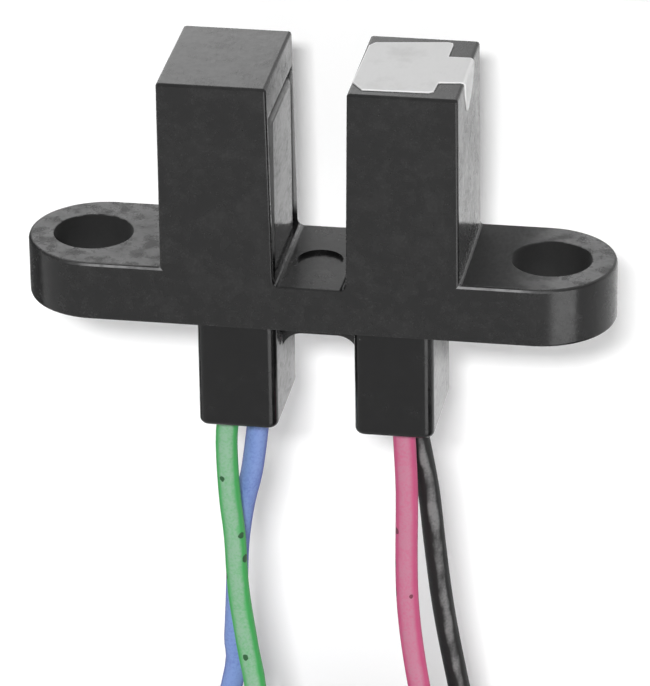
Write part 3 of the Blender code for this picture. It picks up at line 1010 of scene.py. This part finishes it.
@dataclass
class Lead:
    """One flying lead: from its cup, through the hank, to its tinned tip."""

    key: str
    side: Side
    layer: Layer
    slot: str
    finish: Vinyl
    route: tuple[Point, ...]
    hank: Hank = Hank()
    diameter: float = 0.94 * MM
    length: float = 0.61
    hidden_top: float = -2.05 * MM
    tail_bottom: float = -58.906 * MM
    spacing: float = 0.55 * MM
    tail_points: int = 8
    tip_length: float = 4.0 * MM
    tip_radius: float = 0.25 * MM
    tip_buried: float = 0.6 * MM
    strands: int = 7
    strand_overlap: float = 1.12
    strand_end: float = 0.1 * MM
    bead_shape: Point = (0.92, 0.92, 0.7)
    bead_rise: float = 0.18 * MM

    def smooth_route(self, knots: Sequence[Vector]) -> list[Vector]:
        """Points on a smooth curve through the knots.

        Args:
            knots: The given points.

        Returns:
            The new points, from the first knot to the last.
        """
        padded = [2 * knots[0] - knots[1], *knots, 2 * knots[-1] - knots[-2]]
        points = []
        for before, start, end, after in zip(padded, padded[1:], padded[2:], padded[3:]):
            count = max(2, round((end - start).length / self.spacing))
            for t in shares(count)[:-1]:
                line = 2 * start + (end - before) * t
                bend = (2 * before - 5 * start + 4 * end - after) * t**2
                twist = (3 * start - before - 3 * end + after) * t**3
                points.append(0.5 * (line + bend + twist))
        return [*points, knots[-1].copy()]

    def centreline(self) -> list[Vector]:
        """The whole lead's points.

        Returns:
            Points from inside the cup to the end of the insulation.
        """
        knots = [mm(*point) for point in self.route]
        start = Vector((knots[0].x, knots[0].y, self.hidden_top))
        wound = self.hank.winding(knots[-1], self.side.value, self.layer.value)
        free = self.smooth_route([start, *knots, wound[0]])
        last = wound[-1]
        drop = Vector((0, 0, self.tail_bottom - last.z))
        return free[:-1] + wound + [last + drop * share for share in shares(self.tail_points)[1:]]

    def build(self, *also: Piece) -> None:
        """Args:
            also: Other pieces on it; not used.
        """
        points = self.centreline()
        data = bpy.data.curves.new(f"{self.key}_lead", "CURVE")
        data.dimensions = "3D"
        data.bevel_depth = self.diameter / 2
        data.bevel_resolution = 5
        data.use_fill_caps = True
        spline = data.splines.new("POLY")
        spline.points.add(len(points) - 1)
        for place, point in zip(points, spline.points):
            point.co = (*place, 1)
        spline.use_smooth = True
        data.materials.append(self.finish.build())
        cord = linked(f"{self.key}_lead", data)
        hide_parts(f"{self.key}_wire", f"{self.key}_tail", "wire_hank")
        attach(cord, "root")
        tip = self.tip(points[-1])
        run = sum((b - a).length for a, b in zip(points, points[1:]))
        LOG.info("%s lead is %.4f m long on %d points", self.key, run, len(points))

    def tip(self, end: Vector) -> Piece:
        """Twisted strands, tinned together: one in the middle and the others round it.

        Args:
            end: The middle of the insulation's end.

        Returns:
            The piece.
        """
        work = bmesh.new()
        strand = self.tip_radius / 3
        section = {"cap_ends": True, "radius": self.strand_overlap * strand, "segments": 10}
        twist = {"axis": (0, 0, 1), "angle": math.radians(300), "steps": 20, "use_duplicate": False}
        fall = (self.tip_length + self.tip_buried - self.strand_end) / twist["steps"]
        for place in range(self.strands):
            angle = place * math.pi / 3
            offset = 0.0 if place == self.strands - 1 else 2 * strand
            ring = bmesh.ops.create_circle(work, **section)["verts"]
            where = (offset * math.cos(angle), offset * math.sin(angle), self.tip_buried)
            bmesh.ops.translate(work, vec=end + Vector(where), verts=ring)
            caps = [face for face in work.faces if all(vertex in ring for vertex in face.verts)]
            bmesh.ops.spin(work, geom=caps, cent=end, dvec=(0, 0, -fall), **twist)
        ball = {"u_segments": 14, "v_segments": 8, "radius": self.tip_radius}
        bead = bmesh.ops.create_uvsphere(work, **ball)["verts"]
        bmesh.ops.scale(work, vec=self.bead_shape, verts=bead)
        low = Vector((0, 0, self.bead_rise - self.tip_length))
        bmesh.ops.translate(work, vec=end + low, verts=bead)
        bmesh.ops.recalc_face_normals(work, faces=work.faces)
        name = f"{self.key}_tinned_tip"
        piece = object_from(work, name, TinnedMetal(name).build(), 60.0)
        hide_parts(f"{self.key}_tip")
        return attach(piece, "root")


@dataclass
class HankTie:
    """A narrow strap drawn round the hank, its cut end in the slot of the head."""

    half_width: float = 7.935 * MM
    half_depth: float = 4.165 * MM
    inner_corner: float = 0.77 * MM
    thickness: float = 0.8 * MM
    height: float = 2.4 * MM
    middle: float = -37.685 * MM
    head: Point = (4.0 * MM, 2.4 * MM, 3.6 * MM)
    head_edge: float = 0.35 * MM
    strap_edge: float = 0.12 * MM
    end_width: float = 0.9 * MM
    end_sunk: float = 0.05 * MM
    end_margin: float = 0.1 * MM
    end_edge: float = 0.08 * MM
    slot_steps: tuple[Span, ...] = (
        (0.22 * MM, 0.0),
        (0.08 * MM, 0.12 * MM),
        (0.03 * MM, 0.7 * MM),
    )
    finish: TieNylon = TieNylon()

    @property
    def back(self) -> float:
        """Y of the head's back, halfway into the strap."""
        return -self.half_depth - self.thickness / 2

    def build(self) -> Piece:
        """Builds and dresses the tie.

        Returns:
            The piece.
        """
        work = self.strap()
        for part in (self.locking_head(), self.cut_end()):
            mesh = bpy.data.meshes.new("tie part")
            part.to_mesh(mesh)
            part.free()
            work.from_mesh(mesh)
            bpy.data.meshes.remove(mesh)
        piece = object_from(work, "strap_tie", self.finish.build(), 50.0)
        even_normals(piece)
        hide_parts("hank_tie")
        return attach(piece, "root")

    def strap(self) -> Mesh:
        """The closed loop: a rounded rectangle ring with softened edges.

        Returns:
            A new bmesh.
        """
        work = bmesh.new()
        bmesh.ops.create_grid(work, x_segments=1, y_segments=1, size=1.0)
        half = (self.half_width + self.thickness, self.half_depth + self.thickness, 1.0)
        bmesh.ops.scale(work, vec=half, verts=work.verts)
        bmesh.ops.translate(work, vec=(0, 0, self.middle - self.height / 2), verts=work.verts)
        rounded(work, work.verts, self.inner_corner + self.thickness, 8, "VERTICES")
        inner = list(work.faces)
        even = {"use_even_offset": True, "use_boundary": True}
        bmesh.ops.inset_region(work, faces=inner, thickness=self.thickness, **even)
        bmesh.ops.delete(work, geom=inner, context="FACES_ONLY")
        extruded(work, list(work.faces), self.height)
        bmesh.ops.recalc_face_normals(work, faces=work.faces)
        rounded(work, proud_edges(work), self.strap_edge, 3)
        return work

    def locking_head(self) -> Mesh:
        """The head, with the slot that the strap comes out of.

        Returns:
            A new bmesh.
        """
        work = block(self.head, (0, self.back - self.head[1] / 2, self.middle))
        rounded(work, work.edges, self.head_edge, 4)
        front = outermost(work, 1)
        for thickness, depth in self.slot_steps:
            inset(work, front, thickness, -depth)
        return work

    def cut_end(self) -> Mesh:
        """The strap's cut end, in the head's slot.

        Returns:
            A new bmesh.
        """
        depth = self.head[1] - self.end_sunk
        size = (self.end_width, depth, self.height - 2 * self.end_margin)
        work = block(size, (0, self.back - depth / 2, self.middle))
        rounded(work, work.edges, self.end_edge, 3)
        return work


def dress_inner_parts(leads: Iterable[str]) -> int:
    """Gives each package, terminal, joint and potting its finish; their CAD shapes stay.

    Args:
        leads: The leads' keys.

    Returns:
        How many nodes were dressed.
    """
    tin = TinnedMetal("terminal_tin").build()
    solder = TinnedMetal(
        "solder_metal", (0.62, 0.62, 0.61), (0.4, 0.38, 0.33), roughness=0.22, relief=0.02 * MM
    ).build()
    potting = CastResin("potting_body", roughness=0.22).build()
    clear = CastResin(
        "emitter_resin", (0.42, 0.5, 0.66), (0.5, 0.58, 0.75), roughness=0.08, transmission=0.7
    ).build()
    dark = CastResin(
        "detector_resin", (0.02, 0.02, 0.026), (0.035, 0.033, 0.04), roughness=0.1
    ).build()
    finishes = {"infrared_led": clear, "phototransistor": dark}
    finishes |= {"emitter_potting": potting, "detector_potting": potting}
    for key in leads:
        finishes |= {f"{key}_terminal": tin, f"{key}_solder_joint": solder}
    for node, material in finishes.items():
        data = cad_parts[node].data
        data.materials.clear()
        data.materials.append(material)
    return len(finishes)


@dataclass(frozen=True)
class Lamp:
    """One soft lamp that looks at the object.

    Its level is what it adds to the brightness of a white surface that faces it.
    """

    name: str
    toward: Point
    distance: float
    size: Span
    level: float
    visible_glossy: bool = True
    visible_diffuse: bool = True

    def build(self) -> None:
        """Sets up the lamp."""
        data = bpy.data.lights.new(self.name, "AREA")
        data.shape = "RECTANGLE"
        data.size, data.size_y = self.size
        data.energy = self.level * math.pi**2 * self.distance**2
        lamp = linked(self.name, data)
        lamp.visible_glossy = self.visible_glossy
        lamp.visible_diffuse = self.visible_diffuse
        direction = Vector(self.toward).normalized()
        turn = direction.to_track_quat("Z", "Y").to_matrix().to_4x4()
        lamp.matrix_world = Matrix.Translation(direction * self.distance) @ turn


@dataclass
class Studio:
    """Camera, lamps, wall and floor."""

    azimuth: float = 10.05
    elevation: float = 26.16
    roll: float = -0.84
    sensor: float = 36.0
    focal_length: float = 5544 * 36 / 686
    clip: Span = (0.01, 20.0)
    distance: float = 229.1 * MM
    target: Point = (0.092, 0.0, -1.925)
    ambient: float = 0.3
    lamps: tuple[Lamp, ...] = (
        Lamp("key", (0.08, -1.0, 0.56), 0.6, (0.085, 0.04), 0.83, visible_glossy=False),
        Lamp("low card", (0.62, -0.66, -0.44), 0.13, (0.08, 0.09), 0.52, visible_diffuse=False),
        Lamp("back softbox", (-0.4, 0.75, 0.5), 0.4, (0.26, 0.26), 0.17),
    )
    wall_y: float = 8.5 * MM
    wall_top: float = 10.5 * MM
    wall_width: float = 0.6
    floor_z: float = -64.7 * MM
    floor_size: float = 3.0
    flags: tuple[tuple[str, Point, Span, str], ...] = (
        ("left flag", (-0.041, 0.0082, -0.0185), (0.05, 0.075), "X"),
        ("right flag", (0.046, 0.0, -0.042), (0.036, 0.06), "Y"),
    )

    def camera(self) -> None:
        """Sets the camera at the photograph's viewing angle."""
        turn, rise, lean = (math.radians(a) for a in (self.azimuth, self.elevation, self.roll))
        axes = (
            Matrix.Rotation(turn, 4, "Z")
            @ Matrix.Rotation(math.pi / 2 - rise, 4, "X")
            @ Matrix.Rotation(lean, 4, "Z")
        )
        data = bpy.data.cameras.new("camera")
        data.lens = self.focal_length
        data.sensor_width = self.sensor
        data.clip_start, data.clip_end = self.clip
        camera = linked("camera", data)
        back = Matrix.Translation((0, 0, self.distance))
        camera.matrix_world = Matrix.Translation(mm(*self.target)) @ axes @ back
        bpy.context.scene.camera = camera

    @staticmethod
    def sheet(paper: StudioPaper, size: Span, place: Point, turn: str = "") -> Piece:
        """A flat sheet of stage paper.

        Args:
            paper: Its finish.
            size: Its width and height.
            place: Its middle.
            turn: The axis about which it is turned up from lying flat, if any.

        Returns:
            The sheet.
        """
        work = bmesh.new()
        bmesh.ops.create_grid(work, x_segments=1, y_segments=1, size=0.5)
        bmesh.ops.scale(work, vec=(*size, 1.0), verts=work.verts)
        matrix = Matrix.Translation(place)
        if turn:
            matrix = matrix @ Matrix.Rotation(math.pi / 2, 4, turn)
        bmesh.ops.transform(work, matrix=matrix, verts=work.verts)
        made = object_from(work, paper.name.removesuffix(" paper"), paper.build())
        return made

    def world(self) -> None:
        """Sets up a surround that looks white and gives a lower level of light."""
        world = bpy.data.worlds.new("studio")
        bpy.context.scene.world = world
        world.use_nodes = True
        book = NodeBook(world.node_tree)
        shown, given = book.tree.nodes["Background"], book.node("ShaderNodeBackground")
        for source, level in ((shown, 1.0), (given, self.ambient)):
            book.feed(source.inputs["Color"], WHITE)
            book.feed(source.inputs["Strength"], level)
        ends = {0: book.seen(), 1: given.outputs[0], 2: shown.outputs[0]}
        mix = book.node("ShaderNodeMixShader", {}, ends)
        book.feed(book.tree.nodes["World Output"].inputs["Surface"], mix.outputs[0])

    def build(self) -> None:
        """Sets the camera, the stage and the lamps."""
        bpy.context.scene.view_settings.view_transform = "Standard"
        self.camera()
        self.world()
        for lamp in self.lamps:
            lamp.build()
        height = self.wall_top - self.floor_z
        centre = (0, self.wall_y, self.floor_z + height / 2)
        paper = StudioPaper("wall paper", 0.8, 0.23, one_sided=True)
        self.sheet(paper, (self.wall_width, height), centre, "X").visible_shadow = False
        for name, place, size, turn in self.flags:
            flag = self.sheet(StudioPaper(f"{name} paper", 0.1), size, place, turn)
            flag.visible_shadow = flag.visible_camera = False
            flag.visible_diffuse = flag.visible_transmission = False
        paper = StudioPaper("floor paper", 0.8, 0.4)
        self.sheet(paper, (self.floor_size, self.floor_size), (0, 0, self.floor_z))


LEADS = (
    Lead(
        key="sensor_emitter",
        side=Side.DETECTOR,
        layer=Layer.FRONT,
        slot="green_insulation",
        finish=Vinyl(
            "green_vinyl",
            colour=(0.045, 0.36, 0.085),
            painted_highlight=(0.22, 0.39, 0.26),
            speck=(0.015, 0.08, 0.025),
            specks=0.4,
        ),
        route=(
            (-3.95, -0.5, -5.05), (-4.05, -0.52, -6.6), (-3.96, -0.58, -8.95),
            (-3.76, -0.68, -10.9), (-3.62, -0.82, -13.4), (-3.26, -1.0, -15.9),
            (-2.9, -1.25, -18.4), (-3.35, -1.9, -21.3),
        ),
    ),
    Lead(
        key="sensor_collector",
        side=Side.DETECTOR,
        layer=Layer.THIRD,
        slot="blue_insulation",
        finish=Vinyl(
            "blue_vinyl",
            colour=(0.09, 0.13, 0.42),
            painted_highlight=(0.185, 0.275, 0.56),
            speck=(0.04, 0.06, 0.18),
            specks=0.1,
            highlight_band=(0.2, 0.7),
        ),
        route=(
            (-2.8, 0.5, -5.05), (-2.92, 0.5, -6.4), (-3.2, 0.52, -8.4), (-3.56, 0.55, -9.9),
            (-3.86, 0.6, -11.9), (-3.97, 0.62, -14.1), (-4.1, 0.62, -16.4), (-4.3, 0.6, -18.9),
        ),
    ),
    Lead(
        key="led_anode",
        side=Side.EMITTER,
        layer=Layer.SECOND,
        slot="rose_insulation",
        finish=Vinyl(
            "rose_vinyl",
            colour=(0.53, 0.07, 0.19),
            painted_highlight=(0.455, 0.17, 0.25),
            speck=(0.16, 0.02, 0.05),
            specks=0.22,
        ),
        route=(
            (3.45, -0.55, -5.05), (3.5, -0.58, -6.4), (3.57, -0.62, -8.4), (3.55, -0.72, -11.3),
            (3.6, -0.82, -13.3), (3.8, -0.95, -15.3), (4.2, -1.1, -17.8), (4.75, -1.25, -20.3),
        ),
    ),
    Lead(
        key="led_cathode",
        side=Side.EMITTER,
        layer=Layer.BACK,
        slot="black_insulation",
        finish=Vinyl(
            "black_vinyl",
            colour=(0.012, 0.012, 0.012),
            painted_highlight=(0.18, 0.18, 0.18),
            speck=(0.006, 0.006, 0.006),
            front=(0.42, -0.9075, 0.0),
            highlight_band=(0.88, 1.03),
            graininess=1.2,
            shine=0.25,
        ),
        route=(
            (3.72, 0.5, -5.05), (3.92, 0.52, -6.4), (4.3, 0.6, -8.8), (4.5, 0.75, -11.1),
            (4.72, 1.0, -13.6), (4.95, 1.3, -15.7), (5.32, 1.6, -18.2), (5.75, 1.95, -21.0),
        ),
    ),
)


def main() -> None:
    """Builds the stage and every piece."""
    logging.basicConfig(level=logging.INFO, format="%(name)s: %(message)s")
    Studio().build()
    tie = HankTie().build()
    for lead in LEADS:
        lead.build(*([tie] if lead.layer is Layer.FRONT else []))
    Housing().build()
    for side in Side:
        OpticalCup(side).build()
    MarkerLabel().build()
    LOG.info("dressed %d inner parts", dress_inner_parts(lead.key for lead in LEADS))


if __name__ == "__main__":
    main()
